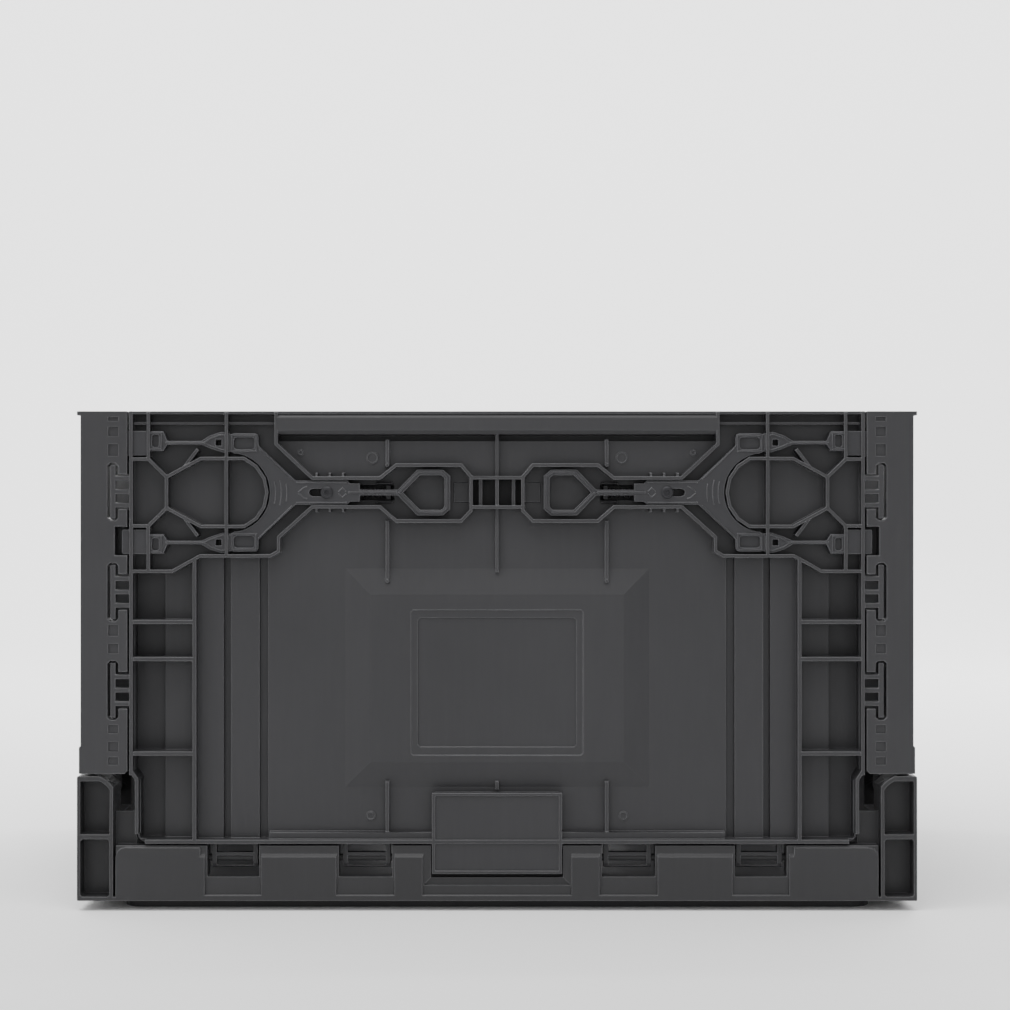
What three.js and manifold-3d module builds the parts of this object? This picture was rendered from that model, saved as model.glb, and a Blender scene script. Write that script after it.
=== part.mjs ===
// Collapsible storage crate, 600 x 400 x 357 mm, standing open.
// Frame: millimetres, +Z up, X along the long side, origin under the middle of the foot.
// The long walls fold inward about low hinges, then the end walls fold over them.
import * as THREE from 'three';
import { mergeVertices } from 'three/addons/utils/BufferGeometryUtils.js';
import Module from 'manifold-3d';

const wasm = await Module();
wasm.setup();

// ---- driving dimensions ----
const LENGTH = 600;
const WIDTH = 400;
const HEIGHT = 357;
const HALF_L = LENGTH / 2;
const HALF_W = WIDTH / 2;
const SKIN = 3;
const RIB = 2.4;
const GAP = 0.4;

// foot and floor
const FOOT_X = 270;
const FOOT_Y = 184;
const FOOT_H = 7.3;
const FLOOR_TOP = 3.5;
const LEDGE_TOP = FOOT_H + SKIN;

// low side rails of the base
const RAIL_TOP = 46.7;
const RAIL_IN = 184;
const RAIL_FACE = 198.5;
const RAIL_END = 272.5;
const RAIL_TOE = 11;
const RAIL_SHOULDER = 38.5;
const RAIL_SLOT_LOW = 24.4;
const OPEN_TOP = 60;

// long walls and their hinges
const HINGE_Y = 188;
const HINGE_Z = 36.7;
const PIN_R = 2.5;
const PIN_HOLE_R = 2.9;
const WALL_IN = 177;
const WALL_LOW = 48;
const WALL_HALF = 262.7;
const WALL_HALF_LOW = 258.5;
const WALL_JOG_Z = 97;
const FOOT_PLATE = 46.4;
const FIELD_Y = 192;
const DEEP_Y = 180;
const STEP_Y = 187;
const HOUSING_Y = 189.6;
const BEHIND = 170;
const GRIP_LOW = 340.5;
const HINGE_TABS = [[171.6, 204.6], [76.5, 110.6]];
const TAB_T = 7;
const PIN_PAST = 5.2;

// end walls and their hinges
const END_HINGE_X = 291.2;
const END_HINGE_Z = 76.7;
const END_ROD_R = 3;
const ROD_HALF = 183;
const POST_TOP = 96.3;
const POST_IN = 274.2;
const POST_WEB_IN = 258.9;
const POST_WEB_TOP = 70;
const POST_DEPTH = 26;
const RIM_IN = 278.5;
const SWING_R = 20.8;
const END_OUT = 297.5;
const END_IN = 285.5;
const END_LOW = 98;
const FLANGE_IN = 264;
const FLANGE_T = 10;
const KNUCKLES = [-126, -42, 42, 126];
const KNUCKLE_W = 40;

// hooks that tie a long wall's edge to the end wall, as [low z, high z] of each slot
const HOOK_SLOTS = [[136.6, 178.7], [207, 248.6], [279, 320]];
const HOOK_LIP = 8;

// label panel of a long wall
const PANEL = { half: 90.6, low: 106.2, high: 226, slope: 18.4, rise: 5.2 };

// latches
const LATCH_Z = 298.9;
const LATCH_FRONT = 198.5;
const LATCH_BACK = 191;
const TRAVEL = 10;
const SCREW_X = 121.6;
const SPRING = { y: 185.6, low: 80, high: 108.5, outer: 3.4, inner: 2.2 };
const BOLT = { low: 26.5, high: 44, inner: 251, tip: 268 };
const YOKE = { centre: 190.6, radius: 28.2 };

const DARK = 0x46464a;
const DARKER = 0x2c2c2f;
const STEEL = 0xb4b6ba;

// ---- solids ----
function solidOf(geometry) {
  const bare = geometry.index ? geometry.toNonIndexed() : geometry.clone();
  bare.deleteAttribute('normal');
  bare.deleteAttribute('uv');
  const merged = mergeVertices(bare, 1e-4);
  return new wasm.Manifold(new wasm.Mesh({
    numProp: 3,
    vertProperties: new Float32Array(merged.attributes.position.array),
    triVerts: new Uint32Array(merged.index.array),
  }));
}

function join(parts) {
  return parts.reduce((all, part) => all.add(part));
}

function cut(solid, tools) {
  return tools.length ? solid.subtract(join(tools)) : solid;
}

// a box between two corners given in any order
function block(a, b) {
  const size = a.map((v, i) => Math.abs(b[i] - v));
  const box = new THREE.BoxGeometry(...size);
  box.translate(...a.map((v, i) => (v + b[i]) / 2));
  return solidOf(box);
}

function extrude(points, depth, holes = []) {
  const outline = points.map(([u, v]) => new THREE.Vector2(u, v));
  if (THREE.ShapeUtils.isClockWise(outline)) {
    outline.reverse();
  }
  const shape = new THREE.Shape(outline);
  for (const hole of holes) {
    shape.holes.push(new THREE.Path(hole.map(([u, v]) => new THREE.Vector2(u, v))));
  }
  return new THREE.ExtrudeGeometry(shape, { depth, bevelEnabled: false, steps: 1 });
}

// an outline in X and Z, from y0 to y1
function slabY(points, y0, y1, holes = []) {
  const geometry = extrude(points, Math.abs(y1 - y0), holes);
  geometry.rotateX(Math.PI / 2);
  geometry.translate(0, Math.max(y0, y1), 0);
  return solidOf(geometry);
}

// an outline in Y and Z, from x0 to x1
function slabX(points, x0, x1, holes = []) {
  const geometry = extrude(points, Math.abs(x1 - x0), holes);
  const turn = new THREE.Matrix4().makeBasis(
    new THREE.Vector3(0, 1, 0), new THREE.Vector3(0, 0, 1), new THREE.Vector3(1, 0, 0));
  geometry.applyMatrix4(turn);
  geometry.translate(Math.min(x0, x1), 0, 0);
  return solidOf(geometry);
}

// an outline in X and Y, from z0 to z1
function slabZ(points, z0, z1) {
  const geometry = extrude(points, z1 - z0);
  geometry.translate(0, 0, z0);
  return solidOf(geometry);
}

// points of an arc, angles in degrees
function arc(cu, cv, r, from, to, steps) {
  return Array.from({ length: steps + 1 }, (_, i) => {
    const a = THREE.MathUtils.degToRad(from + (to - from) * i / steps);
    return [cu + r * Math.cos(a), cv + r * Math.sin(a)];
  });
}

function circle(cu, cv, r, sides = 12) {
  return arc(cu, cv, r, 0, 360, sides).slice(0, sides);
}

// a rectangle with round corners
function pad(u0, v0, u1, v1, r, steps = 2) {
  return [
    ...arc(u1 - r, v1 - r, r, 0, 90, steps),
    ...arc(u0 + r, v1 - r, r, 90, 180, steps),
    ...arc(u0 + r, v0 + r, r, 180, 270, steps),
    ...arc(u1 - r, v0 + r, r, 270, 360, steps),
  ];
}

// the outline of a strip of even thickness along a line of points, with mitred bends
function strip(points, thickness) {
  const left = [];
  const right = [];
  points.forEach(([u, v], i) => {
    const before = points[Math.max(i - 1, 0)];
    const after = points[Math.min(i + 1, points.length - 1)];
    const a = new THREE.Vector2(u - before[0], v - before[1]).normalize();
    const b = new THREE.Vector2(after[0] - u, after[1] - v).normalize();
    const way = a.clone().add(b).normalize();
    const edge = i === 0 ? b : a;
    const normal = new THREE.Vector2(-way.y, way.x);
    const reach = thickness / 2 / Math.abs(new THREE.Vector2(-edge.y, edge.x).dot(normal));
    left.push([u + normal.x * reach, v + normal.y * reach]);
    right.unshift([u - normal.x * reach, v - normal.y * reach]);
  });
  return [...left, ...right];
}

function mirrored(points, side) {
  return points.map(([u, v]) => [side * u, v]);
}

const crate = new THREE.Group();
crate.name = 'collapsible_crate';

function place(name, solid, finish, turn = 0) {
  const raw = solid.getMesh();
  const geometry = new THREE.BufferGeometry();
  geometry.setAttribute('position', new THREE.BufferAttribute(new Float32Array(raw.vertProperties), 3));
  geometry.setIndex(new THREE.BufferAttribute(new Uint32Array(raw.triVerts), 1));
  const mesh = new THREE.Mesh(geometry, new THREE.MeshStandardMaterial(finish));
  mesh.name = name;
  mesh.rotation.z = turn;
  crate.add(mesh);
}

const MOULDED = { color: DARK, roughness: 0.55, metalness: 0 };
const METAL = { color: STEEL, roughness: 0.35, metalness: 1 };
const LATCH_FINISH = { color: DARK, roughness: 0.5, metalness: 0 };
const BASE_FINISH = { color: DARKER, roughness: 0.6, metalness: 0 };
const BOTH = [-1, 1];

// ---- base ----
function hingeSlots(y) {
  const tools = [];
  for (const side of BOTH) {
    for (const [x0, x1] of HINGE_TABS) {
      tools.push(block(
        [side * (x0 - 1.6), y * (RAIL_IN - 1), RAIL_SLOT_LOW],
        [side * (x1 + 2.4), y * (HALF_W + 1), OPEN_TOP]));
      const seat = PIN_R + GAP;
      tools.push(block(
        [side * (x0 - PIN_PAST - 0.6), y * (HINGE_Y - seat), HINGE_Z - seat],
        [side * (x1 + PIN_PAST + 1.4), y * (HINGE_Y + seat), OPEN_TOP]));
    }
  }
  return tools;
}

// raised plates along the rail's outer face: [inner x, outer x]
const RAIL_PLATES = [[53, 73.4], [114.6, 168.4], [208.6, 212]];
const RAIL_POCKETS = [[54, 68], [118.5, 164], [214, 256]];

function baseRail(y) {
  const plateProfile = [
    [y * HALF_W, RAIL_TOE], [y * HALF_W, RAIL_SHOULDER], [y * 194.5, RAIL_TOP], [y * RAIL_IN, RAIL_TOP],
    [y * RAIL_IN, RAIL_TOE]];
  const parts = [
    block([-RAIL_END, y * RAIL_IN, FOOT_H], [RAIL_END, y * RAIL_FACE, RAIL_TOP]),
    block([-RAIL_END, y * RAIL_IN, FOOT_H], [RAIL_END, y * HALF_W, RAIL_TOE + 0.4]),
  ];
  for (const side of BOTH) {
    for (const [x0, x1] of RAIL_PLATES) {
      parts.push(slabX(plateProfile, side * x0, side * x1));
    }
    const corner = [
      [212, RAIL_TOE], [RAIL_END, RAIL_TOE], ...arc(RAIL_END - 7, RAIL_SHOULDER, 7, 0, 90, 3), [212, 45.5]];
    parts.push(slabY(mirrored(corner, side), y * RAIL_IN, y * HALF_W));
  }
  // the notch that takes the foot of the long wall
  const half = FOOT_PLATE + 0.6;
  const mouth = [
    [-half, OPEN_TOP], [-half, 24.2], [-half - 5.4, 18.5], [half + 5.4, 18.5], [half, 24.2], [half, OPEN_TOP]];
  const tools = [
    ...hingeSlots(y),
    block([-half - 0.2, y * 192.2, 23.9], [half + 0.2, y * (HALF_W + 1), OPEN_TOP]),
    block([-half - 0.2, y * (RAIL_IN - 1), 43], [half + 0.2, y * (HALF_W + 1), OPEN_TOP]),
    slabY(mouth, y * 197, y * (HALF_W + 1)),
  ];
  return cut(join(parts), tools);
}

// hollows in the rails, open underneath
function railPockets() {
  return BOTH.flatMap((y) => BOTH.flatMap((side) => RAIL_POCKETS.map(([x0, x1]) => block(
    [side * x0, y * 186.6, FOOT_H - 1], [side * x1, y * 191.6, 31]))));
}

// profile across the end rim, with the round shoulder that the end wall swings past
function rimProfile(inner, shoulder) {
  const start = 90 + THREE.MathUtils.radToDeg(Math.acos((POST_TOP - END_HINGE_Z) / SWING_R));
  const end = THREE.MathUtils.radToDeg(Math.acos((inner - END_HINGE_X) / SWING_R));
  return [
    [HALF_L, FOOT_H], ...arc(HALF_L - shoulder, POST_TOP - shoulder, shoulder, 0, 90, 4),
    ...arc(END_HINGE_X, END_HINGE_Z, SWING_R, start, end, 4),
    [inner, FOOT_H],
  ];
}

function baseEnd(side) {
  const rim = slabY(mirrored(rimProfile(RIM_IN, 9), side), -HALF_W + 2, HALF_W - 2);
  const parts = [rim];
  const tools = [];
  for (const y of BOTH) {
    parts.push(slabY(mirrored(rimProfile(POST_IN, 1), side), y * (HALF_W - POST_DEPTH), y * HALF_W));
    const upper = [
      [297.6, 54.8], [297.6, 92.6], ...arc(END_HINGE_X, END_HINGE_Z, SWING_R - 3.2, 115, 147, 3),
      [276.8, 54.8]];
    const lower = pad(276.8, LEDGE_TOP, 297.6, 51.2, 1.5, 1);
    tools.push(slabY(mirrored(upper, side), y * (HALF_W - 15), y * (HALF_W + 1)));
    tools.push(slabY(mirrored(lower, side), y * (HALF_W - 15), y * (HALF_W + 1)));
    // the web beside the post stays below the folded end wall
    parts.push(block([side * POST_WEB_IN, y * 186, FOOT_H], [side * (POST_IN + 1), y * 189.4, POST_WEB_TOP]));
  }
  for (const y of KNUCKLES) {
    const half = KNUCKLE_W / 2 + 1;
    tools.push(block([side * 270, y - half, 62], [side * (HALF_L + 2), y + half, POST_TOP + 4]));
  }
  const rodHole = circle(side * END_HINGE_X, END_HINGE_Z, END_ROD_R + GAP, 10);
  tools.push(slabY(rodHole, -ROD_HALF - 0.5, ROD_HALF + 0.5));
  // weight-saving cells open to the outside, under the knuckles
  const cells = 6;
  const span = 2 * (HALF_W - POST_DEPTH - 4);
  for (let i = 0; i < cells; i += 1) {
    const y0 = -span / 2 + (span / cells) * i + 1.5;
    const y1 = y0 + span / cells - 3;
    tools.push(block([side * (RIM_IN + SKIN), y0, LEDGE_TOP], [side * (HALF_L + 1), y1, 54]));
  }
  return cut(join(parts), tools);
}

function baseTray() {
  const plate = slabZ(pad(-HALF_L, -HALF_W, HALF_L, HALF_W, 4), FOOT_H, LEDGE_TOP);
  const foot = slabZ(pad(-FOOT_X, -FOOT_Y, FOOT_X, FOOT_Y, 14, 4), 0, LEDGE_TOP);
  const well = slabZ(pad(-FOOT_X + 3, -FOOT_Y + 3, FOOT_X - 3, FOOT_Y - 3, 11, 4), FLOOR_TOP, 20);
  // shallow cells under the floor
  const pockets = [];
  const columns = 6;
  const rows = 4;
  const margin = 12;
  const bar = 3;
  const stepX = 2 * (FOOT_X - margin) / columns;
  const stepY = 2 * (FOOT_Y - margin) / rows;
  for (let i = 0; i < columns; i += 1) {
    for (let j = 0; j < rows; j += 1) {
      const x0 = -FOOT_X + margin + stepX * i + bar / 2;
      const y0 = -FOOT_Y + margin + stepY * j + bar / 2;
      pockets.push(block([x0, y0, -1], [x0 + stepX - bar, y0 + stepY - bar, 1.2]));
    }
  }
  const tray = cut(join([plate, foot]), [well, ...pockets]);
  return cut(join([tray, baseRail(-1), baseRail(1), baseEnd(-1), baseEnd(1)]), railPockets());
}

// ---- long wall, modelled at the front (-Y) ----
const HOUSING = [
  [261, 242.6], [232, 242.6], [212, 253.6], [162, 253.6], [156, 257], [156, 267], [132, 288.6],
  [83.5, 288.6], [72, 278.6], [25.7, 278.6], [18.5, 286], [18.5, 310], [25.7, 318.5], [72, 318.5],
  [83.5, 309.3], [132, 309.3], [157.7, 333.5], [157.7, HEIGHT - 0.6]];
const FUNNEL_TOP = [
  [261, 322.8], [249, 322.8], [236, 310], [211.5, 323.2],
  ...arc(YOKE.centre, LATCH_Z, 26.3, 112.5, 247.5, 6),
  [211.5, 274.6], [236, 287.8], [249, 275], [261, 275]];

function wallOutline(inset) {
  const high = WALL_HALF - inset;
  const low = WALL_HALF_LOW - inset;
  const r = 7;
  const half = [
    [low - r, WALL_LOW + inset], ...arc(low - r, WALL_LOW + inset + r, r, 270, 360, 3),
    [low, WALL_JOG_Z - 4], [high, WALL_JOG_Z + 2], [high, HEIGHT - inset]];
  return [...half, ...mirrored(half, -1).reverse()];
}

// a flat strip standing on the wall from depth back to depth front
function rib(points, side, thickness = RIB, front = HALF_W, back = DEEP_Y - 1) {
  return slabY(strip(mirrored(points, side), thickness), -front, -back);
}

function hinge(side, [x0, x1]) {
  const r = TAB_T / 2;
  const profile = [
    [-HINGE_Y - r, WALL_LOW + 2], [-HINGE_Y - r, HINGE_Z - 3.6],
    ...arc(-HINGE_Y, HINGE_Z - 3.6, r, 180, 360, 4),
    [-HINGE_Y + r, WALL_LOW + 2]];
  const hole = circle(-HINGE_Y, HINGE_Z, PIN_HOLE_R, 10);
  const tab = slabX(profile, side * x0, side * x1, [hole]);
  return cut(tab, [
    block([side * (x0 + 3.4), -HINGE_Y - 5, 31.6], [side * (x1 - 3.4), -HINGE_Y + 5, 38.2]),
    block([side * (x0 + 3.4), -HINGE_Y - 5, 40.6], [side * (x1 - 3.4), -HINGE_Y + 5, 46.4]),
  ]);
}

// one T-shaped hook: an upright bar on three rungs
function hook(side, [z0, z1]) {
  const mid = (z0 + z1) / 2;
  const parts = [block([side * 272.4, -199.4, z0 + 1.4], [side * 276, -FIELD_Y, z1 - 1.4])];
  for (const offset of [-9.6, 0, 9.6]) {
    parts.push(block(
      [side * (WALL_HALF - 1), -199.4, mid + offset - 1.6], [side * 273, -FIELD_Y, mid + offset + 1.6]));
  }
  return join(parts);
}

function longWallSide(side) {
  const outerCell = [[238.8, 51], [238.8, 243.4], [260, 243.4], [260, 99], [256, 93], [256, 51]];
  const innerCell = [[217.5, 51], [217.5, 250], [232, 243.4], [238.9, 243.4], [238.9, 51]];
  const housing = [...HOUSING.slice(1, -1), [157.7, 355], [260, 355], [260, 242.6]];
  const deep = [
    slabY(mirrored(outerCell, side), -HALF_W - 1, -DEEP_Y),
    slabY(mirrored(innerCell, side), -HALF_W - 1, -STEP_Y),
    slabY(mirrored(housing, side), -HALF_W - 1, -HOUSING_Y),
    block([side * 74, -HALF_W - 1, LATCH_Z - 5.5], [side * 114, -DEEP_Y, LATCH_Z + 5.5]),
    block([side * 191, -HALF_W - 1, 51], [side * 196, -188, 253]),
    block([side * 164.4, -HALF_W - 1, 51], [side * 170.4, -188.6, 253]),
  ];
  const inward = -HOUSING_Y + SKIN;
  const hollow = [
    block([side * 173.4, -189, 54], [side * 188, -BEHIND, 250]),
    block([side * 199, -189, 54], [side * 213.6, -BEHIND, 250]),
    block([side * 219, -STEP_Y + SKIN, 54], [side * 235.6, -BEHIND, 240]),
    block([side * 165, inward, 258], [side * 258, -BEHIND, 350]),
    block([side * 24, inward, 284], [side * 70, -BEHIND, 314]),
  ];
  const floor = HOUSING_Y - 1;
  const ribs = [
    rib(HOUSING, side, RIB, HALF_W, floor),
    rib(FUNNEL_TOP, side, RIB, HALF_W, floor),
    rib([[261.4, WALL_JOG_Z], [261.4, HEIGHT]], side, 2.6, HALF_W, WALL_IN),
    rib([[257.3, 55], [257.3, WALL_JOG_Z - 3], [261.4, WALL_JOG_Z + 3]], side, 2.4, HALF_W, WALL_IN),
    rib([[216, 49], [216, 252]], side, 2.8, HALF_W, STEP_Y - 1),
    rib([[236, 288], [236, 310]], side, RIB, HALF_W, floor),
    rib([[193.3, 254], [193.3, HEIGHT - 1]], side, RIB, HALF_W, floor),
    rib([[249, 243], [249, 275]], side, RIB, HALF_W, floor),
    rib([[249, 323], [249, HEIGHT - 1]], side, RIB, HALF_W, floor),
    rib([[260, 348.5], [157.7, 348.5]], side, 1.8, 196, floor),
  ];
  for (const z of [112.5, 180, 206.5]) {
    ribs.push(rib([[216, z], [239, z]], side, SKIN, HALF_W, STEP_Y - 1));
    ribs.push(rib([[238, z], [260, z]], side, SKIN, HALF_W, DEEP_Y - 1));
  }
  for (const up of BOTH) {
    ribs.push(rib([[223.4, LATCH_Z + up * 18.2], [213.8, LATCH_Z + up * 31]], side, RIB, HALF_W - 1, floor));
  }
  for (const x of [110, 119.5, 129]) {
    ribs.push(rib([[x, 285], [x, 289]], side, 1.6, 199, FIELD_Y - 1));
    ribs.push(rib([[x, 309], [x, 313]], side, 1.6, 199, FIELD_Y - 1));
  }
  // screw boss, spring stop and the block at the end of the handle's travel
  ribs.push(slabY(circle(side * SCREW_X, LATCH_Z, 4.6), -190.6, -floor));
  ribs.push(block([side * 76.5, -189.6, LATCH_Z - 5], [side * 79.5, -DEEP_Y + 1, LATCH_Z + 5]));
  ribs.push(block([side * 19, -190.6, LATCH_Z - 7], [side * 31, -floor, LATCH_Z + 7]));
  for (const tab of HINGE_TABS) {
    ribs.push(hinge(side, tab));
  }
  for (const slot of HOOK_SLOTS) {
    ribs.push(hook(side, slot));
  }
  return { deep, hollow, ribs };
}

// windows in the ribs where a latch's arms and bolts slide through
function latchWindows(side) {
  const tools = [slabY(circle(side * SCREW_X, LATCH_Z, 2.7), -201, -182)];
  for (const up of BOTH) {
    const z0 = LATCH_Z + up * (BOLT.low - GAP - 0.2);
    const z1 = LATCH_Z + up * (BOLT.high + GAP);
    tools.push(block([side * 240, -LATCH_FRONT - GAP, z0], [side * 265, -LATCH_BACK + GAP, z1]));
    tools.push(block([side * 190, -LATCH_FRONT - GAP, LATCH_Z + up * 27], [side * 197, -LATCH_BACK + GAP, z1]));
  }
  return tools;
}

// the label panel: a raised plate with mitred slopes round it and a two-step recess
function centrePanel() {
  const { half, low, high, slope, rise } = PANEL;
  const corners = [[-half, low], [half, low], [half, high], [-half, high]];
  const shape = new THREE.Shape(corners.map(([u, v]) => new THREE.Vector2(u, v)));
  const frustum = new THREE.ExtrudeGeometry(shape, {
    depth: 0.4, steps: 1, bevelEnabled: true, bevelSegments: 1, bevelSize: slope, bevelThickness: rise });
  frustum.rotateX(Math.PI / 2);
  frustum.translate(0, -FIELD_Y + 0.4, 0);
  const front = slabY(pad(-120, 80, 120, 250, 1, 1), -HALF_W, -FIELD_Y + 1);
  return cut(solidOf(frustum).intersect(front), [
    slabY(pad(-61.5, 111, 61.5, 215, 1.5, 1), -HALF_W, -196.5),
    slabY(pad(-56.6, 117, 56.6, 209, 1.5, 1), -HALF_W, -195.7),
  ]);
}

function longWall() {
  const sides = BOTH.map(longWallSide);
  const body = slabY(wallOutline(0), -FIELD_Y, -WALL_IN);
  const grip = [
    [-197.5, GRIP_LOW], [-HALF_W, GRIP_LOW + 3], [-HALF_W, 352.5], [-197.5, 355.6], [-DEEP_Y, 355.6],
    [-DEEP_Y, GRIP_LOW]];
  const deep = [
    ...sides.flatMap((s) => s.deep),
    block([-156.5, -HALF_W - 1, 336], [156.5, -184.5, GRIP_LOW]),
    block([-20, -HALF_W - 1, 289.6], [20, -DEEP_Y, 308.4]),
  ];
  const hollow = [
    ...sides.flatMap((s) => s.hollow),
    slabY(pad(-161.4, 54, 161.4, 250, 4, 1), -189, -BEHIND),
    slabY(pad(-128, 249, 128, 275, 4, 1), -189, -BEHIND),
    block([-154, -197.2, 343.4], [154, -BEHIND, 352.8]),
  ];
  const shell = cut(cut(body, deep).add(slabX(grip, -157.5, 157.5)), hollow);
  const shared = [
    block([-WALL_HALF_LOW + 7, -HALF_W, WALL_LOW], [WALL_HALF_LOW - 7, -WALL_IN, 51]),
    block([-163, -196.5, 50], [163, -FIELD_Y + 2, 56]),
    block([-WALL_HALF, -199.2, 354.9], [WALL_HALF, -WALL_IN, HEIGHT]),
    centrePanel(),
    block([-1.2, -195.4, 242], [1.2, -FIELD_Y + 1, 288]),
    block([-1.2, -HALF_W + 0.6, 289], [1.2, -DEEP_Y + 1, 309]),
    block([-1.2, -196, 309], [1.2, -184, 341]),
    block([-18.5, -HALF_W, 287.4], [18.5, -DEEP_Y + 1, 289.8]),
    block([-18.5, -HALF_W, 308.2], [18.5, -DEEP_Y + 1, 310.6]),
    block([-1.2, -195.4, 86], [1.2, -FIELD_Y + 1, 92]),
  ];
  for (const side of BOTH) {
    shared.push(block([side * 77.3, -195.4, 235], [side * 79.7, -FIELD_Y + 1, 279]));
    shared.push(block([side * 77.3, -195.4, 318], [side * 79.7, -FIELD_Y + 1, 337]));
    shared.push(block([side * 77.3, -196.4, 51], [side * 79.7, -FIELD_Y + 1, 92]));
    shared.push(block([side * 10.5, -196, 289], [side * 13, -DEEP_Y + 1, 309]));
  }
  // the wide plate at the foot of the wall, with a raised border
  const border = FOOT_PLATE - RIB;
  const plate = cut(block([-FOOT_PLATE, -HALF_W, 26.6], [FOOT_PLATE, -196.2, 84.4]), [
    block([-border, -HALF_W - 1, 29], [border, -HALF_W + 1, 82]),
  ]);
  const footPlate = join([plate, block([-border, -198, WALL_LOW + 0.6], [border, -190, 84])]);
  const solid = join([shell, ...sides.flatMap((s) => s.ribs), ...shared, footPlate]);
  return cut(solid, [latchWindows(-1), latchWindows(1)].flat());
}

// ---- latch, one moulding: handle ring, neck, yoke and two bolts ----
function latch(side) {
  const z = (v) => LATCH_Z + v;
  const slab = (points, holes = []) => slabY(
    mirrored(points.map(([u, v]) => [u, z(v)]), side), -LATCH_FRONT, -LATCH_BACK,
    holes.map((hole) => mirrored(hole.map(([u, v]) => [u, z(v)]), side)));
  const ringOuter = [[72.8, 0], [57, 16.4], [38.5, 16.4], [33.5, 12], [33.5, -12], [38.5, -16.4], [57, -16.4]];
  const ringInner = [[67.2, 0], [55, 12.4], [40, 12.4], [37.5, 10], [37.5, -10], [40, -12.4], [55, -12.4]];
  const parts = [
    slab(ringOuter, [ringInner]),
    slab([[108, 2], [70, 2], [70, -2], [108, -2]]),
    slab([
      [144.6, 8.6], [107, 8.6], [105, 6.6], [98, 6.6], [98, -6.6], [105, -6.6], [107, -8.6], [144.6, -8.6]]),
    block([side * 109, -LATCH_BACK - 1, z(-4)], [side * 112, -182, z(4)]),
  ];
  const tools = [slab(circle(YOKE.centre, 0, YOKE.radius, 32))];
  for (const up of BOTH) {
    const flip = (points) => points.map(([u, v]) => [u, up * v]);
    parts.push(slab(flip([
      [144, 0], [144, 8.6], [170.4, 33.4], [170.4, 38], [188, 38], [188, 20], [166, 0]])));
    parts.push(slab(flip(pad(170.4, 28, 191, 42.4, 3))));
    const arm = [
      [189, 29.5], [196, 28.6], [205.5, 31.8], [211.5, 34.4], [235.5, 34.4], [238.5, 29.7], [250, 29.7],
      [250, 43.8], [238.5, 43.8], [235.5, 36.9], [211.5, 36.9], [205.5, 40.6], [197, 43.4], [189, 41.6]];
    parts.push(slab(flip(arm)));
    parts.push(slab(flip(pad(BOLT.inner - 3, BOLT.low, BOLT.tip, BOLT.high, 0.6, 1))));
    tools.push(slab(flip([[197, 33.6], [201, 33.6], [201, 37.8], [197, 37.8]])));
    for (const recess of [pad(173.4, 31, 188, 39.4, 2), pad(241.6, 32.6, 246.6, 41.2, 1, 1)]) {
      tools.push(slabY(mirrored(flip(recess).map(([u, v]) => [u, z(v)]), side), -HALF_W, -196));
    }
  }
  const slotHalf = 2.7;
  const slot = [
    ...arc(SCREW_X, 0, slotHalf, 270, 90, 4),
    ...arc(SCREW_X + TRAVEL, 0, slotHalf, 90, -90, 4),
  ];
  tools.push(slab(slot));
  return cut(join(parts), tools);
}

function guideScrew(side) {
  const head = slabY(circle(side * SCREW_X, LATCH_Z, 4.4), -199.9, -LATCH_FRONT - 0.3);
  const shank = slabY(circle(side * SCREW_X, LATCH_Z, 2.2, 10), -199, -183);
  return head.add(shank);
}

// the envelope of the coil, a tube between the latch's lug and the wall's stop
function latchSpring(side) {
  const { y, low, high, outer, inner } = SPRING;
  return slabX(circle(-y, LATCH_Z, outer, 10), side * low, side * high, [circle(-y, LATCH_Z, inner, 10)]);
}

function hingePin(side, [x0, x1]) {
  return slabX(circle(-HINGE_Y, HINGE_Z, PIN_R, 10), side * (x0 - PIN_PAST), side * (x1 + PIN_PAST));
}

// ---- end wall, modelled at the right (+X) ----
const FLANGE_MARKS = [
  [104.5, 110], [114, 121], [127, 133], [184, 191], [196.5, 204.5], [325, 333.5], [339, 346], [350, 353]];
const HAND_HOLE = { half: 63, low: 278, high: 322 };
const FLANGE_TOP = 355;
const GRIP_IN = 284.4;

function endFlange(y) {
  const outline = [
    [FLANGE_IN + 2, END_LOW], [298.6, END_LOW], [298.6, 117], [END_OUT, 118], [END_OUT, FLANGE_TOP],
    [FLANGE_IN, FLANGE_TOP], [FLANGE_IN, END_LOW + 2]];
  const plate = slabY(outline, y * HALF_W, y * (HALF_W - FLANGE_T));
  const tools = [block([262, y * 201, 254], [273, y * 188, 274.5])];
  for (const [z0, z1] of HOOK_SLOTS) {
    tools.push(block([262, y * 201, z0 + HOOK_LIP], [271, y * 188, z1 - HOOK_LIP]));
    tools.push(slabY(pad(270.4, z0, 278.2, z1, 2, 1), y * 201, y * 188));
  }
  for (const [z0, z1] of FLANGE_MARKS) {
    tools.push(block([270.4, y * 201, z0], [277.6, y * 198.8, z1]));
  }
  tools.push(block([262, y * (HALF_W - 1), 324.8], [269.4, y * 188, 343.4]));
  const parts = [cut(plate, tools)];
  // lips that the bolts rest against, and the webs that carry them
  for (const z0 of [251.5, 322.5]) {
    parts.push(block([FLANGE_IN, y * (HALF_W - FLANGE_T + 0.5), z0], [290, y * 184, z0 + 2.2]));
    parts.push(block([FLANGE_IN, y * (HALF_W - FLANGE_T + 0.5), z0 + 23.4], [290, y * 184, z0 + 25.6]));
    parts.push(block([FLANGE_IN + 1, y * 187.6, z0], [290, y * 184, z0 + 25.6]));
  }
  return join(parts);
}

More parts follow.
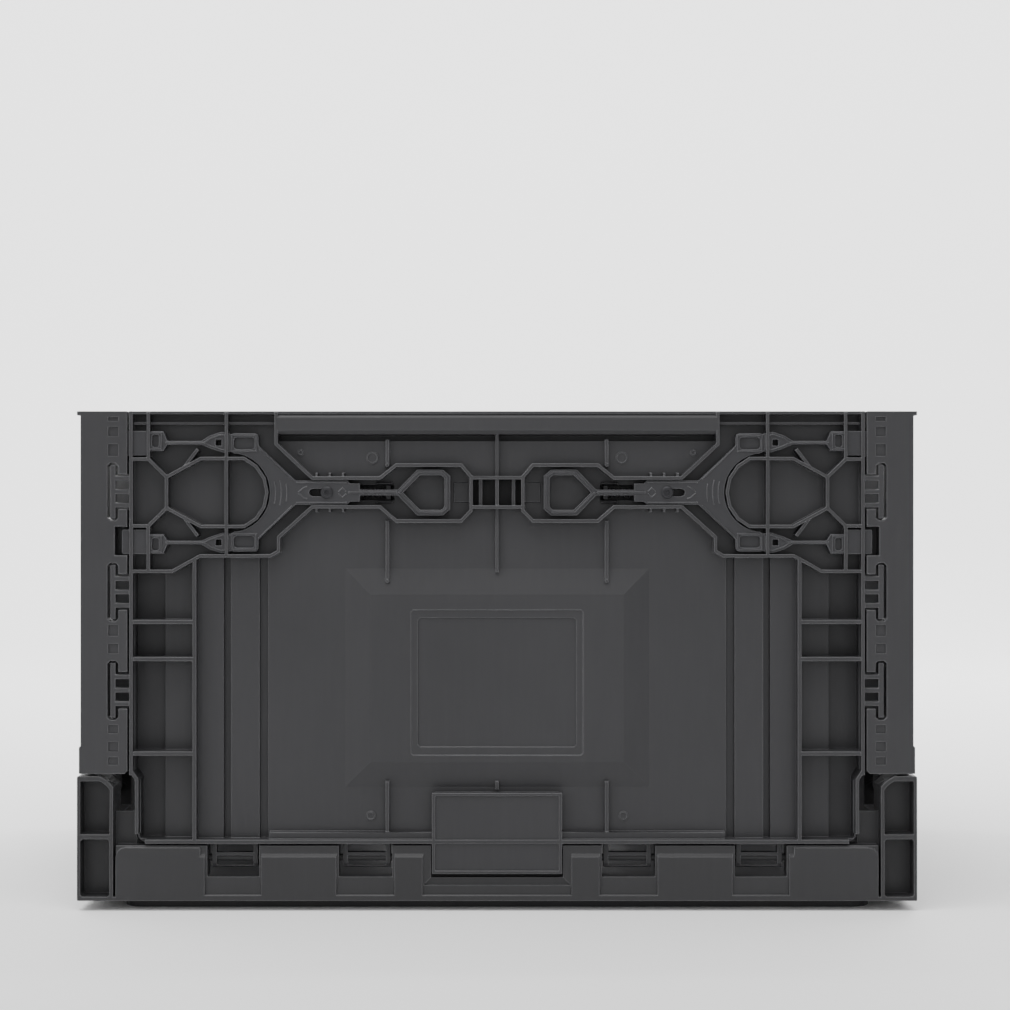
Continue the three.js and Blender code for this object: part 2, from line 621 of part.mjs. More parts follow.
function endWall() {
  const inside = HALF_W - 2;
  const parts = [
    block([END_IN, -inside, END_LOW], [END_IN + SKIN, inside, FLANGE_TOP]),
    block([END_IN, -inside, END_LOW], [END_OUT, inside, 105]),
    block([END_IN, -HALF_W, FLANGE_TOP - 1], [HALF_L, HALF_W, HEIGHT]),
    block([GRIP_IN, -122, 344], [END_OUT + 1, 122, HEIGHT - 1]),
    endFlange(-1),
    endFlange(1),
    ...BOTH.map((y) => block(
      [FLANGE_IN, y * (HALF_W - FLANGE_T), FLANGE_TOP - 1], [HALF_L, y * HALF_W, HEIGHT])),
  ];
  for (const y of [-188, -160, -132, 130, 158, 186]) {
    parts.push(block([END_IN, y, END_LOW], [END_OUT, y + RIB, FLANGE_TOP]));
  }
  for (const z of [205, 249]) {
    for (const side of BOTH) {
      parts.push(block([END_IN, side * 131, z - 1.2], [END_OUT, side * inside, z + 1.2]));
    }
  }
  for (const z of [270, 323, 342]) {
    parts.push(block([END_IN, -inside, z - 1.2], [END_OUT, inside, z + 1.2]));
  }
  for (const side of BOTH) {
    parts.push(block([END_IN, side * 64, 270], [END_OUT, side * (64 + RIB), 342]));
    parts.push(block([END_IN, side * 98, 270], [END_OUT, side * (98 + RIB), FLANGE_TOP]));
  }
  parts.push(slabX(pad(-67, 274, 67, 326, 8, 2), END_IN - 2.5, END_OUT - 0.5));
  // knuckles round the rod
  for (const y of KNUCKLES) {
    const half = KNUCKLE_W / 2;
    const profile = [
      [END_HINGE_X - 5.6, END_LOW + 1], ...arc(END_HINGE_X, END_HINGE_Z, 6.2, 180, 360, 5),
      [END_OUT, END_LOW + 1]];
    parts.push(slabY(profile, y - half, y + half));
  }
  const hole = HAND_HOLE;
  const tools = [
    slabX(pad(-hole.half, hole.low, hole.half, hole.high, 9, 3), 270, 310),
    slabY(circle(END_HINGE_X, END_HINGE_Z, END_ROD_R + GAP, 10), -HALF_W, HALF_W),
    block([289.5, -118, 338], [294.4, 118, 353]),
  ];
  return cut(join(parts), tools);
}

function endRod() {
  return slabY(circle(END_HINGE_X, END_HINGE_Z, END_ROD_R, 10), -ROD_HALF, ROD_HALF);
}

// ---- assembly ----
place('base_tray', baseTray(), BASE_FINISH);
const wall = longWall();
const end = endWall();
const rod = endRod();
for (const [face, turn] of [['front', 0], ['back', Math.PI]]) {
  place(`${face}_long_wall`, wall, MOULDED, turn);
  for (const side of BOTH) {
    // the back wall is the front wall turned half a turn, so its sides change over
    const hand = (side < 0) === (face === 'front') ? 'left' : 'right';
    place(`${face}_${hand}_latch`, latch(side), LATCH_FINISH, turn);
    place(`${face}_${hand}_latch_spring`, latchSpring(side), METAL, turn);
    place(`${face}_${hand}_latch_screw`, guideScrew(side), METAL, turn);
    HINGE_TABS.forEach((tab, i) => {
      const where = i === 0 ? 'outer' : 'inner';
      place(`${face}_${hand}_${where}_hinge_pin`, hingePin(side, tab), METAL, turn);
    });
  }
}
for (const [hand, turn] of [['right', 0], ['left', Math.PI]]) {
  place(`${hand}_end_wall`, end, MOULDED, turn);
  place(`${hand}_end_hinge_rod`, rod, METAL, turn);
}

export default crate;
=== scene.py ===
"""Collapsible storage crate in charcoal moulded plastic, standing open on a pale studio floor."""

import math

import bmesh
import bpy
import numpy as np
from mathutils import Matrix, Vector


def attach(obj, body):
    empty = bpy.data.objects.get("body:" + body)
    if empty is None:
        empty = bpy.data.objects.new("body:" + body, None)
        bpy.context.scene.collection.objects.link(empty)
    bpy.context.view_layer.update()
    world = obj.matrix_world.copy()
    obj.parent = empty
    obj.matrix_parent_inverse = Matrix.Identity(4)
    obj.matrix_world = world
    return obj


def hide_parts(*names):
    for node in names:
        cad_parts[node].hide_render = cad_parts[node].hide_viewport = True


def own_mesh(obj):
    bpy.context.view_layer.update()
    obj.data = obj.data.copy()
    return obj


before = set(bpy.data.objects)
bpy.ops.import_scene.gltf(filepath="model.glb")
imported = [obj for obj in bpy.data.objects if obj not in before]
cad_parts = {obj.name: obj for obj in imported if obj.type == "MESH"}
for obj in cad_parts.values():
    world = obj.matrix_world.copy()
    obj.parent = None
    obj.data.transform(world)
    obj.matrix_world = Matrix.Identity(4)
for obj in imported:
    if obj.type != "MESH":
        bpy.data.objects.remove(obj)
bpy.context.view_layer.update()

MM = 0.001
FACES = ("front", "back")
HANDS = {"left": -1, "right": 1}
MIX_FIRST, MIX_SECOND, MIX_RESULT = 6, 7, 2  # the colour sockets of a Mix node, which share their labels


# ---- camera, lights and floor ----
def place_camera():
    data = bpy.data.cameras.new("camera")
    data.lens = 72.4
    data.sensor_width = 36
    camera = bpy.data.objects.new("camera", data)
    camera.location = (0.0057, -1.65, 0.290)
    camera.rotation_euler = (math.pi / 2, 0, 0)
    bpy.context.collection.objects.link(camera)
    bpy.context.scene.camera = camera


def soft_light(name, place, aim, size, power):
    data = bpy.data.lights.new(name, "AREA")
    data.shape = "RECTANGLE"
    data.size, data.size_y = size
    data.energy = power
    lamp = bpy.data.objects.new(name, data)
    lamp.location = place
    way = np.array(aim) - np.array(place)
    lamp.rotation_mode = "QUATERNION"
    lamp.rotation_quaternion = Vector(way).to_track_quat("-Z", "Y")
    bpy.context.collection.objects.link(lamp)


def light_studio():
    soft_light("overhead", (-0.3, -0.75, 2.0), (0, -0.1, 0.15), (2.0, 1.2), 46)
    soft_light("front", (0.4, -3.2, 1.2), (0, 0, 0.2), (3.0, 1.6), 13)
    soft_light("front_left", (-2.3, -1.4, 1.0), (0, 0, 0.2), (1.2, 1.2), 15)
    soft_light("behind", (0.9, 2.2, 1.5), (0, 0, 0.2), (1.4, 1.0), 22)
    for side in (-1, 1):
        soft_light(f"backdrop_{side}", (side * 1.6, 1.0, 2.4), (side * 1.4, 3.4, 0.9), (2.0, 1.4), 120)
    world = bpy.data.worlds.new("studio")
    world.use_nodes = True
    back = world.node_tree.nodes["Background"]
    back.inputs["Color"].default_value = (1.0, 1.0, 1.0, 1)
    back.inputs["Strength"].default_value = 0.62
    bpy.context.scene.world = world


# ---- meshes ----
def new_piece(name, points, faces):
    """A smooth mesh object from points in metres and a list of faces, with its normals made outward."""
    mesh = bpy.data.meshes.new(name)
    mesh.from_pydata(np.asarray(points, float).tolist(), [], [list(map(int, f)) for f in faces])
    mesh.validate()
    piece = bpy.data.objects.new(name, mesh)
    bpy.context.collection.objects.link(piece)
    turn_outward(mesh)
    mesh.polygons.foreach_set("use_smooth", [True] * len(mesh.polygons))
    return piece


def turn_outward(mesh):
    shell = bmesh.new()
    shell.from_mesh(mesh)
    bmesh.ops.recalc_face_normals(shell, faces=shell.faces)
    shell.to_mesh(mesh)
    shell.free()


def lofted(name, lofts, turned):
    """One piece from several lofts. A loft is an array of n closed rings of m points, in millimetres,
    and its faces are the quads between ring i and ring i + 1 and one polygon over each end ring.
    A turned piece is given half a turn about the vertical axis."""
    points, faces, start = [], [], 0
    for rings in lofts:
        rings = np.asarray(rings, float)
        n, m = rings.shape[:2]
        i, j = np.meshgrid(np.arange(n - 1), np.arange(m), indexing="ij")
        k = (j + 1) % m
        quads = np.stack([i * m + j, i * m + k, (i + 1) * m + k, (i + 1) * m + j], -1).reshape(-1, 4)
        faces += (quads + start).tolist()
        faces += [list(range(start, start + m)), list(range(start + (n - 1) * m, start + n * m))]
        points.append(rings.reshape(-1, 3))
        start += n * m
    placed = np.concatenate(points) * MM
    if turned:
        placed = placed * (-1, -1, 1)
    piece = new_piece(name, placed, faces)
    piece.data.set_sharp_from_angle(angle=math.radians(40))
    return piece


def raised_line(points, width, height, y, closed=False):
    """Rings of a rib along a line of (x, z) points, standing out from the plane y: across the line the
    section is half an ellipse, width across and height high, and bends are mitred."""
    path = np.asarray(points, float)
    before = np.roll(path, 1, 0) if closed else np.vstack([2 * path[:1] - path[1:2], path[:-1]])
    after = np.roll(path, -1, 0) if closed else np.vstack([path[1:], 2 * path[-1:] - path[-2:-1]])
    a, b = path - before, after - path
    a /= np.linalg.norm(a, axis=1, keepdims=True)
    b /= np.linalg.norm(b, axis=1, keepdims=True)
    side_a, side_b = np.stack([-a[:, 1], a[:, 0]], 1), np.stack([-b[:, 1], b[:, 0]], 1)
    mitre = side_a + side_b
    mitre /= (mitre * side_a).sum(1, keepdims=True)
    v = np.linspace(0, np.pi, 7)
    across = path[:, None, :] + mitre[:, None, :] * (width / 2 * np.cos(v))[None, :, None]
    depth = np.broadcast_to(y - height * np.sin(v), across.shape[:2])
    rings = np.stack([across[..., 0], depth, across[..., 1]], -1)
    return np.concatenate([rings, rings[:1]]) if closed else rings


def turned_button(x, z, profile, steps=28):
    """Rings of a body of revolution about the line along Y through (x, z): profile is (radius, y) pairs."""
    r, y = np.asarray(profile, float).T
    angle = np.linspace(0, 2 * np.pi, steps, endpoint=False)
    return np.stack(np.broadcast_arrays(
        x + r[:, None] * np.cos(angle), y[:, None], z + r[:, None] * np.sin(angle)), -1)


def arc_points(x, z, radius, low, high):
    """Twelve (x, z) points of a circle about (x, z), between two angles in degrees."""
    angle = np.radians(np.linspace(low, high, 12))
    return np.stack([x + radius * np.cos(angle), z + radius * np.sin(angle)], 1)


def sweep_floor():
    """A floor that turns up behind the crate: y runs back, then follows a quarter circle, then rises."""
    low, turn, top, half = -5.0, 2.2, 4.0, 6.0
    radius = 1.2
    angle = np.linspace(0, np.pi / 2, 17)
    y = np.concatenate([[low], turn + radius * np.sin(angle), [turn + radius]])
    z = np.concatenate([[0], radius - radius * np.cos(angle), [top]])
    x = np.array([-half, half])
    grid = np.stack(np.broadcast_arrays(x[None, :], y[:, None], z[:, None]), -1).reshape(-1, 3)
    quads = [(2 * i, 2 * i + 1, 2 * i + 3, 2 * i + 2) for i in range(len(y) - 1)]
    floor = new_piece("floor", grid, quads)
    paper = bpy.data.materials.new("pale_paper")
    paper.use_nodes = True
    surface = paper.node_tree.nodes["Principled BSDF"]
    surface.inputs["Base Color"].default_value = (0.93, 0.93, 0.93, 1)
    surface.inputs["Roughness"].default_value = 0.9
    floor.data.materials.append(paper)


# ---- shader groups ----
def link_all(tree, links):
    for source, target in links:
        tree.links.new(source, target)


def group_of(name, takes, gives):
    group = bpy.data.node_groups.new(name, "ShaderNodeTree")
    for label, kind, value in takes:
        entry = group.interface.new_socket(label, in_out="INPUT", socket_type=kind)
        if value is not None:
            entry.default_value = value
    for label, kind in gives:
        group.interface.new_socket(label, in_out="OUTPUT", socket_type=kind)
    return group, group.nodes.new("NodeGroupInput"), group.nodes.new("NodeGroupOutput")


def math_node(tree, kind, a, b=None, clamp=False):
    node = tree.nodes.new("ShaderNodeMath")
    node.operation = kind
    node.use_clamp = clamp
    for index, value in enumerate((a, b)):
        if value is None:
            continue
        if isinstance(value, (int, float)):
            node.inputs[index].default_value = value
        else:
            tree.links.new(value, node.inputs[index])
    return node.outputs[0]


def ramp(tree, source, low, high):
    """Maps low..high to 0..1, cut off at both ends."""
    node = tree.nodes.new("ShaderNodeMapRange")
    node.clamp = True
    node.inputs["From Min"].default_value = low
    node.inputs["From Max"].default_value = high
    tree.links.new(source, node.inputs["Value"])
    return node.outputs["Result"]


def noise(tree, place, scale, detail=3.0, rough=0.5):
    node = tree.nodes.new("ShaderNodeTexNoise")
    node.inputs["Scale"].default_value = scale
    node.inputs["Detail"].default_value = detail
    node.inputs["Roughness"].default_value = rough
    tree.links.new(place, node.inputs["Vector"])
    return node.outputs["Fac"]


def blend_colour(tree, factor, first, second):
    """Mixes two colours, each of them a socket or a fixed colour."""
    mix = tree.nodes.new("ShaderNodeMix")
    mix.data_type = "RGBA"
    tree.links.new(factor, mix.inputs["Factor"])
    for index, colour in ((MIX_FIRST, first), (MIX_SECOND, second)):
        if isinstance(colour, tuple):
            mix.inputs[index].default_value = (*colour, 1)
        else:
            tree.links.new(colour, mix.inputs[index])
    return mix.outputs[MIX_RESULT]


def painted_edge_highlight_group():
    """Mask of painted highlight: 1 on outward corners, where the normal rounded over Radius leaves the true
    one, cut by noise.
    """
    group, takes, gives = group_of(
        "painted_edge_highlight",
        [("Radius", "NodeSocketFloat", 0.0009), ("Breakup", "NodeSocketFloat", 0.35)],
        [("Mask", "NodeSocketFloat")])
    n = group.nodes
    rounded = n.new("ShaderNodeBevel")
    rounded.samples = 4
    true = n.new("ShaderNodeNewGeometry")
    dot = n.new("ShaderNodeVectorMath")
    dot.operation = "DOT_PRODUCT"
    link_all(group, [
        (takes.outputs["Radius"], rounded.inputs["Radius"]),
        (rounded.outputs["Normal"], dot.inputs[0]),
        (true.outputs["Normal"], dot.inputs[1])])
    bend = math_node(group, "SUBTRACT", 1.0, dot.outputs["Value"])
    # Pointiness is above one half on outward corners and below it in creases
    outward = ramp(group, true.outputs["Pointiness"], 0.44, 0.52)
    coord = n.new("ShaderNodeTexCoord")
    highlight_breaks = ramp(group, noise(group, coord.outputs["Object"], 55.0, 4.0), 0.3, 0.62)
    kept = math_node(group, "SUBTRACT", 1.0, math_node(
        group, "MULTIPLY", takes.outputs["Breakup"], math_node(group, "SUBTRACT", 1.0, highlight_breaks)))
    bent = ramp(group, bend, 0.01, 0.16)
    mask = math_node(group, "MULTIPLY", math_node(group, "MULTIPLY", bent, outward), kept, clamp=True)
    group.links.new(mask, gives.inputs["Mask"])
    return group


def moulding_group():
    """Colour and roughness of moulded plastic: slow flow clouds, upright drag streaks and fine speckle."""
    group, takes, gives = group_of(
        "moulded_plastic",
        [("Base", "NodeSocketColor", (0.06, 0.06, 0.064, 1)),
         ("Pale", "NodeSocketColor", (0.1, 0.1, 0.107, 1)),
         ("Clouds", "NodeSocketFloat", 0.3), ("Streaks", "NodeSocketFloat", 0.12)],
        [("Color", "NodeSocketColor"), ("Roughness", "NodeSocketFloat")])
    n = group.nodes
    coord = n.new("ShaderNodeTexCoord")
    stretch = n.new("ShaderNodeMapping")
    stretch.inputs["Scale"].default_value = (1.0, 1.0, 0.09)
    group.links.new(coord.outputs["Object"], stretch.inputs["Vector"])
    clouds = ramp(group, noise(group, coord.outputs["Object"], 6.0, 4.0, 0.55), 0.35, 0.7)
    streaks = ramp(group, noise(group, stretch.outputs["Vector"], 260.0, 2.0), 0.4, 0.75)
    specks = ramp(group, noise(group, coord.outputs["Object"], 900.0, 2.0), 0.3, 0.8)
    amount = math_node(group, "ADD", math_node(group, "MULTIPLY", clouds, takes.outputs["Clouds"]),
                       math_node(group, "MULTIPLY", streaks, takes.outputs["Streaks"]))
    amount = math_node(group, "ADD", amount, math_node(group, "MULTIPLY", specks, 0.08), clamp=True)
    colour = blend_colour(group, amount, takes.outputs["Base"], takes.outputs["Pale"])
    group.links.new(colour, gives.inputs["Color"])
    rough = math_node(group, "ADD", 0.42, math_node(group, "MULTIPLY", clouds, 0.1))
    rough = math_node(group, "ADD", rough, math_node(group, "MULTIPLY", specks, 0.06))
    group.links.new(rough, gives.inputs["Roughness"])
    return group


def painted_crease_shade_group():
    """Mask of painted shade: 1 deep in cells and creases, from ambient occlusion over Reach, thinned by
    noise.
    """
    group, takes, gives = group_of(
        "painted_crease_shade", [("Reach", "NodeSocketFloat", 0.012)], [("Mask", "NodeSocketFloat")])
    n = group.nodes
    open_sky = n.new("ShaderNodeAmbientOcclusion")
    open_sky.samples = 8
    group.links.new(takes.outputs["Reach"], open_sky.inputs["Distance"])
    coord = n.new("ShaderNodeTexCoord")
    shut = math_node(group, "SUBTRACT", 1.0, open_sky.outputs["AO"])
    patch = ramp(group, noise(group, coord.outputs["Object"], 24.0, 3.0), 0.2, 0.7)
    group.links.new(math_node(group, "MULTIPLY", shut, patch, clamp=True), gives.inputs["Mask"])
    return group


def grain_group():
    """Height of the fine spark-eroded grain, on a slow unevenness of the surface."""
    group, takes, gives = group_of(
        "mould_grain", [("Scale", "NodeSocketFloat", 1400.0)], [("Height", "NodeSocketFloat")])
    n = group.nodes
    coord = n.new("ShaderNodeTexCoord")
    fine = n.new("ShaderNodeTexNoise")
    fine.inputs["Detail"].default_value = 2.0
    link_all(group, [
        (coord.outputs["Object"], fine.inputs["Vector"]), (takes.outputs["Scale"], fine.inputs["Scale"])])
    waves = noise(group, coord.outputs["Object"], 45.0, 2.0)
    height = math_node(group, "ADD", math_node(group, "MULTIPLY", fine.outputs["Fac"], 0.5),
                       math_node(group, "MULTIPLY", waves, 1.2))
    group.links.new(height, gives.inputs["Height"])
    return group


GROUPS = {
    # painted highlight on outward edges
    "painted_highlight": painted_edge_highlight_group(),
    "plastic": moulding_group(),
    # painted shade in cells and creases
    "crease_shade": painted_crease_shade_group(),
    "grain": grain_group(),
}


def use_group(tree, key, **values):
    node = tree.nodes.new("ShaderNodeGroup")
    node.node_tree = GROUPS[key]
    for label, value in values.items():
        node.inputs[label].default_value = value
    return node


def plastic(name, base, pale, edge, painted_highlight=0.6):
    """Charcoal moulded plastic: clouded base colour, painted highlight on outward edges, painted shade in
    creases, fine grain.
    """
    made = bpy.data.materials.new(name)
    made.use_nodes = True
    tree = made.node_tree
    surface = tree.nodes["Principled BSDF"]
    body = use_group(tree, "plastic", Base=(*base, 1), Pale=(*pale, 1))
    highlight_node = use_group(tree, "painted_highlight", Breakup=0.3)
    creases = use_group(tree, "crease_shade")
    # painted highlight: outward edges are lightened towards the edge colour
    highlight_amount = math_node(tree, "MULTIPLY", highlight_node.outputs["Mask"], painted_highlight)
    colour = blend_colour(tree, highlight_amount, body.outputs["Color"], edge)
    # painted shade: cells and creases are darkened towards a darker tone of the base colour
    crease_share, crease_tone = 0.25, 0.45
    deep = math_node(tree, "MULTIPLY", creases.outputs["Mask"], crease_share)
    colour = blend_colour(tree, deep, colour, tuple(crease_tone * c for c in base))
    tree.links.new(colour, surface.inputs["Base Color"])
    tree.links.new(body.outputs["Roughness"], surface.inputs["Roughness"])
    surface.inputs["Specular IOR Level"].default_value = 0.3
    bump = tree.nodes.new("ShaderNodeBump")
    bump.inputs["Strength"].default_value = 0.10
    bump.inputs["Distance"].default_value = 0.0004
    height = use_group(tree, "grain")
    link_all(tree, [(height.outputs["Height"], bump.inputs["Height"]),
                    (bump.outputs["Normal"], surface.inputs["Normal"])])
    return made


def steel(name, tint, rough):
    """Drawn steel with fine lengthwise streaks in its roughness."""
    made = bpy.data.materials.new(name)
    made.use_nodes = True
    tree = made.node_tree
    surface = tree.nodes["Principled BSDF"]
    coord = tree.nodes.new("ShaderNodeTexCoord")
    stretch = tree.nodes.new("ShaderNodeMapping")
    stretch.inputs["Scale"].default_value = (0.05, 1.0, 1.0)
    tree.links.new(coord.outputs["Object"], stretch.inputs["Vector"])
    lines = noise(tree, stretch.outputs["Vector"], 2400.0)
    tree.links.new(math_node(tree, "ADD", rough, math_node(tree, "MULTIPLY", lines, 0.2)),
                   surface.inputs["Roughness"])
    spots = ramp(tree, noise(tree, coord.outputs["Object"], 180.0), 0.35, 0.75)
    spotted = math_node(tree, "MULTIPLY", spots, 0.5)
    colour = blend_colour(tree, spotted, tint, tuple(0.6 * c for c in tint))
    tree.links.new(colour, surface.inputs["Base Color"])
    surface.inputs["Metallic"].default_value = 1.0
    return made


# each plastic's own colour, its clouds' colour and the colour of its painted edge highlight, with that
# highlight's strength
WALL = plastic(
    "wall_charcoal", (0.0245, 0.0243, 0.0262), (0.038, 0.0377, 0.0405), (0.15, 0.15, 0.157), painted_highlight=0.9)
BASE = plastic(
    "base_charcoal", (0.021, 0.0208, 0.0222), (0.033, 0.0327, 0.035), (0.13, 0.13, 0.136), painted_highlight=0.9)
LATCH = plastic(
    "latch_charcoal", (0.023, 0.0229, 0.0252), (0.035, 0.0348, 0.038), (0.15, 0.15, 0.158), painted_highlight=0.9)
SPRING = steel("spring_wire", (0.5, 0.5, 0.52), 0.25)
SCREW = steel("blackened_screw", (0.045, 0.045, 0.048), 0.42)
PIN = plastic("pin_charcoal", (0.02, 0.02, 0.021), (0.03, 0.03, 0.032), (0.08, 0.08, 0.085))


# ---- CAD nodes with soft moulded edges ----
def dress(piece, material, body):
    piece.data.materials.clear()
    piece.data.materials.append(material)
    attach(piece, body)
    return piece


MERGE_WITHIN = 2e-6
FLAT_WITHIN = math.radians(0.3)
CUT_AFRESH_WITHIN = 0.002
ROUNDED_FROM = math.radians(35)


def moulded(node, body, material, width=0.35):
    """A merged copy of a CAD node with small rounded edges, which stands for the node."""
    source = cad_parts[node]
    mesh = source.data.copy()
    mesh.name = node + "_moulded"
    shell = bmesh.new()
    shell.from_mesh(mesh)
    bmesh.ops.remove_doubles(shell, verts=shell.verts, dist=MERGE_WITHIN)
    # flat faces are cut afresh into well-shaped triangles, which the rounding needs
    bmesh.ops.dissolve_limit(shell, angle_limit=FLAT_WITHIN, verts=shell.verts, edges=shell.edges)
    bmesh.ops.triangulate(shell, faces=shell.faces, quad_method="BEAUTY", ngon_method="BEAUTY")
    flat = [edge for edge in shell.edges if edge.is_manifold and edge.calc_face_angle() < CUT_AFRESH_WITHIN]
    bmesh.ops.beautify_fill(shell, faces=shell.faces, edges=flat)
    shell.to_mesh(mesh)
    shell.free()
    piece = bpy.data.objects.new(node + "_moulded", mesh)
    bpy.context.collection.objects.link(piece)
    soft = piece.modifiers.new("soft_edges", "BEVEL")
    soft.width = width * MM
    soft.segments = 1
    soft.limit_method = "ANGLE"
    soft.angle_limit = ROUNDED_FROM
    soft.use_clamp_overlap = False
    mesh.polygons.foreach_set("use_smooth", [False] * len(mesh.polygons))
    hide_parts(node)
    return dress(piece, material, body)


# ---- fine detail of the long walls ----
FIELD_Y = -192.0
HOUSING_Y = -189.6
LATCH_Y = -198.5
LATCH_Z = 298.9
SCREW_X = 121.6
YOKE_X = 190.6
SPRING_Y = -185.6
# circular marks on the field: distance from the wall's middle, height, radius
EJECTOR_MARKS = ((89.4, 323.8, 4.6), (90.6, 67.0, 3.6), (141.0, 327.5, 2.6))
# half the section of the screw's head, as (radius, y)
SCREW_HEAD = [(2.1, -183.2), (2.1, -198.8), (4.35, -198.85), (4.4, -199.2), (4.0, -199.65), (3.0, -199.88),
              (2.1, -199.9)]


def outward_sign(face, hand):
    """Sign of X towards one hand's end wall, before the half turn that a back piece is given."""
    return HANDS[hand] if face == "front" else -HANDS[hand]


def wall_detail(face):
    """Small features of the wall's outside: rails beside the latch bars, ejector marks and small bosses."""
    lofts = []
    for side in HANDS.values():
        for rise in (-6.7, 6.7):
            # the rails stop short of the latch's neck at the end of its travel
            rail = [(side * 86.5, LATCH_Z + rise), (side * 75, LATCH_Z + rise)]
            lofts.append(raised_line(rail, 2.0, 5.2, HOUSING_Y + 0.3))
        for x, z, radius in EJECTOR_MARKS:
            lofts.append(turned_button(side * x, z, [
                (radius, FIELD_Y + 0.6), (radius, FIELD_Y - 0.5), (radius - 0.5, FIELD_Y - 0.9),
                (radius - 1.2, FIELD_Y - 0.9), (radius - 1.6, FIELD_Y - 0.3)]))
        for z in (235.6, 318.6):
            boss = [(1.9, FIELD_Y + 0.5), (1.9, -195.4), (1.2, -196.2)]
            lofts.append(turned_button(side * 78.5, z, boss, 16))
    return lofted(f"{face}_wall_fine_detail", lofts, turned=face == "back")


# rim of the handle ring, as distances from the wall's middle and from the latch's own axis
RING_RIM = ((70.0, 0), (56, 14.4), (39.3, 14.4), (35.5, 11), (35.5, -11), (39.3, -14.4), (56, -14.4))
# lines on one half of a latch, as distances from the wall's middle and from the latch's own axis,
# each with its width, its height and whether it closes
LATCH_LINES = [
    ([(113.4, 0.6), (110.5, 3.4), (107.8, 0.8)], 1.1, 0.6, False),
    ([(142, 0.4), (138.2, 3.6), (135.8, 4.4)], 1.1, 0.6, False),
    ([(146.4, 9.4), (169.4, 31.6)], 1.3, 0.7, False),
    ([(192, 31.3), (196.4, 30.4), (204.8, 33.4), (209.4, 35.6), (204.8, 38.9), (197, 41.6), (192, 40.2)],
     1.3, 0.8, True),
    ([(209, 35.65), (237, 35.65)], 1.5, 0.7, False),
    ([(239.8, 31.0), (248.4, 31.0), (248.4, 42.6), (239.8, 42.6)], 1.3, 0.8, True),
    ([(172.0, 29.5), (189.4, 29.5), (189.4, 40.9), (172.0, 40.9)], 1.4, 0.8, True),
]


def latch_detail(face, hand):
    """Raised lines on a latch: ridge on the bar, chevrons by the screw, arcs on the yoke, the ring's rim."""
    side = outward_sign(face, hand)
    y = LATCH_Y + 0.15
    rim = [(side * u, LATCH_Z + v) for u, v in RING_RIM]
    lofts = [
        raised_line([(side * 106, LATCH_Z), (side * 71.5, LATCH_Z)], 2.2, 0.9, y),
        raised_line(rim, 2.0, 0.9, y, closed=True),
    ]
    for rise in (-7.2, 7.2):
        edge = [(side * 143.5, LATCH_Z + rise), (side * 107.6, LATCH_Z + rise)]
        lofts.append(raised_line(edge, 1.3, 0.7, y))
    for radius in (32.5, 36.5, 40.5):
        spread = 14 if radius < 40 else 9
        points = arc_points(-YOKE_X, LATCH_Z, radius, -spread, spread)
        lofts.append(raised_line(points * (-side, 1), 1.1, 0.6, y))
    for up in (-1, 1):
        for points, width, height, closed in LATCH_LINES:
            placed = [(side * u, LATCH_Z + up * v) for u, v in points]
            lofts.append(raised_line(placed, width, height, y, closed))
    return lofted(f"{face}_{hand}_latch_detail", lofts, turned=face == "back")


def screw(face, hand):
    """A pan-head guide screw: SCREW_HEAD turned about its axis, and a socket pressed in whose radius is
    size * (1 + depth * cos(6 * angle)), which gives it six lobes."""
    side = outward_sign(face, hand)
    steps, depth = 36, 0.14
    rings = turned_button(side * SCREW_X, LATCH_Z, SCREW_HEAD, steps)
    angle = np.linspace(0, 2 * np.pi, steps, endpoint=False)
    socket = []
    for y, size in ((-199.9, 1.75), (-199.0, 1.65)):
        r = size * (1 + depth * np.cos(6 * angle))
        socket.append(np.stack(
            [side * SCREW_X + r * np.cos(angle), np.full(steps, y), LATCH_Z + r * np.sin(angle)], -1))
    return lofted(f"{face}_{hand}_screw_turned", [np.concatenate([rings, socket])], turned=face == "back")


def coil(face, hand):
    """A compression spring: a circle of wire carried along a helix about X. Its turns are spread by
    t - closing * sin(2 pi t) * 2 / pi, which winds it closer at both ends."""
    side = outward_sign(face, hand)
    length, low, wire, radius, turns, closing = 28.0, 80.2, 0.45, 2.9, 9, 0.06
    t = np.linspace(0, 1, turns * 20 + 1)
    x = low + length * (t - closing * np.sin(2 * np.pi * t) / np.pi * 2)
    phase = 2 * np.pi * turns * t
    centre = np.stack([side * x, SPRING_Y + radius * np.cos(phase), LATCH_Z + radius * np.sin(phase)], -1)
    way = np.gradient(centre, axis=0)
    way /= np.linalg.norm(way, axis=1, keepdims=True)
    out = np.stack([np.zeros_like(t), np.cos(phase), np.sin(phase)], -1)
    third = np.cross(way, out)
    v = np.linspace(0, 2 * np.pi, 8, endpoint=False)[None, :, None]
    rings = centre[:, None] + wire * (np.cos(v) * out[:, None] + np.sin(v) * third[:, None])
    return lofted(f"{face}_{hand}_spring_coil", [rings], turned=face == "back")


# ---- fine detail of the end walls ----
GRIP_OUT, GRIP_IN, GRIP_CROWN = 297.0, 290, 2.4
GRIP_LOW, GRIP_HIGH = 344.4, 356
# rings of one half of the grip, from beside the middle to its end: how much each is drawn in
GRIP_SHRINK = (1.3, 0.3, 0, 0, 0, 0, 0, 0.3, 1.3)
# section of one rib of the strip, as (height, x)
STRIP_RIB = ((325.0, 290.5), (327.5, 294.6), (338.0, 294.6), (340.4, 290.5))


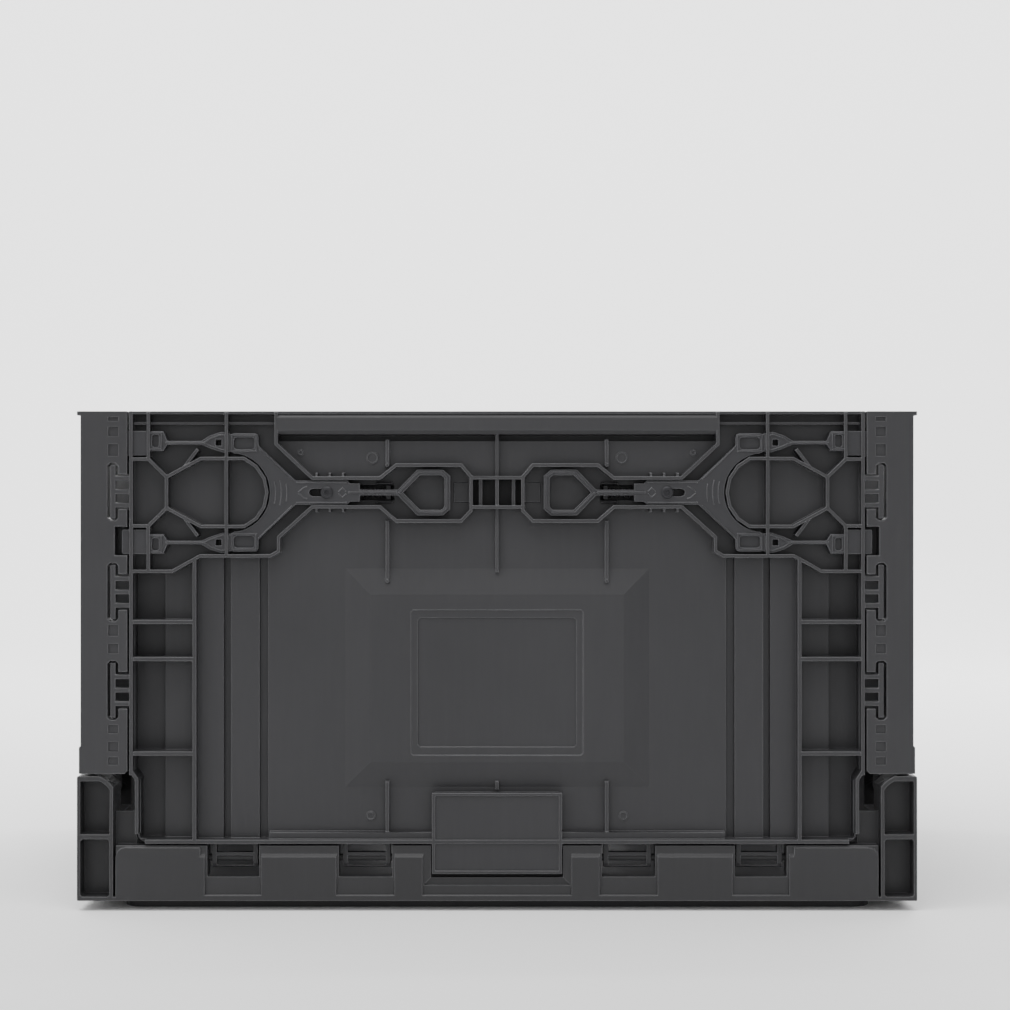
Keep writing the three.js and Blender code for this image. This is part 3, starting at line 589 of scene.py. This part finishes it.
def grip_profile(y, shrink):
    """Ring at y of the rolled grip: its outer face is crowned by GRIP_CROWN * sin(v) ** 0.7."""
    low, high = GRIP_LOW + shrink, GRIP_HIGH - shrink
    v = np.linspace(0, np.pi, 11)
    z = low + (high - low) * (1 - np.cos(v)) / 2
    x = GRIP_OUT - shrink + GRIP_CROWN * np.sin(v) ** 0.7
    face = np.stack([x, np.full_like(v, y), z], -1)
    return np.concatenate([face, [[GRIP_IN, y, high - 0.4], [GRIP_IN, y, low + 0.4]]])


def end_detail(hand):
    """Outer side of an end wall: a rolled grip in two halves, and a strip of upright ribs under it."""
    lofts = []
    for half in (-1, 1):
        spread = half * np.linspace(4, 122, len(GRIP_SHRINK))
        lofts.append(np.array([grip_profile(y, shrink) for y, shrink in zip(spread, GRIP_SHRINK)]))
    for y in np.linspace(-60, 60, 25):
        lofts.append(np.array([
            [(288, y - 1.1, z), (288, y + 1.1, z), (x, y + 0.5, z), (x, y - 0.5, z)] for z, x in STRIP_RIB]))
    return lofted(f"{hand}_end_wall_detail", lofts, turned=hand == "left")


# ---- making ----
# word in a CAD node's name, and the finish of that node
FINISHES = {"spring": SPRING, "screw": SCREW, "pin": PIN, "rod": PIN}

place_camera()
light_studio()
sweep_floor()

moulded("base_tray", "base", BASE)
for hand in HANDS:
    moulded(f"{hand}_end_wall", "base", WALL)
for face in FACES:
    moulded(f"{face}_long_wall", f"{face}_wall", WALL)
    for hand in HANDS:
        moulded(f"{face}_{hand}_latch", f"{face}_{hand}_latch", LATCH, 0.3)
        dress(latch_detail(face, hand), LATCH, f"{face}_{hand}_latch")
        turned = screw(face, hand)
        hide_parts(f"{face}_{hand}_latch_screw")
        dress(turned, SCREW, f"{face}_wall")
        wound = coil(face, hand)
        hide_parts(f"{face}_{hand}_latch_spring")
        dress(wound, SPRING, f"{face}_wall")
        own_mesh(wound)
    dress(wall_detail(face), WALL, f"{face}_wall")
for hand in HANDS:
    dress(end_detail(hand), WALL, "base")

for name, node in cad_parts.items():
    for word, finish in FINISHES.items():
        if word in name:
            node.data.materials.clear()
            node.data.materials.append(finish)
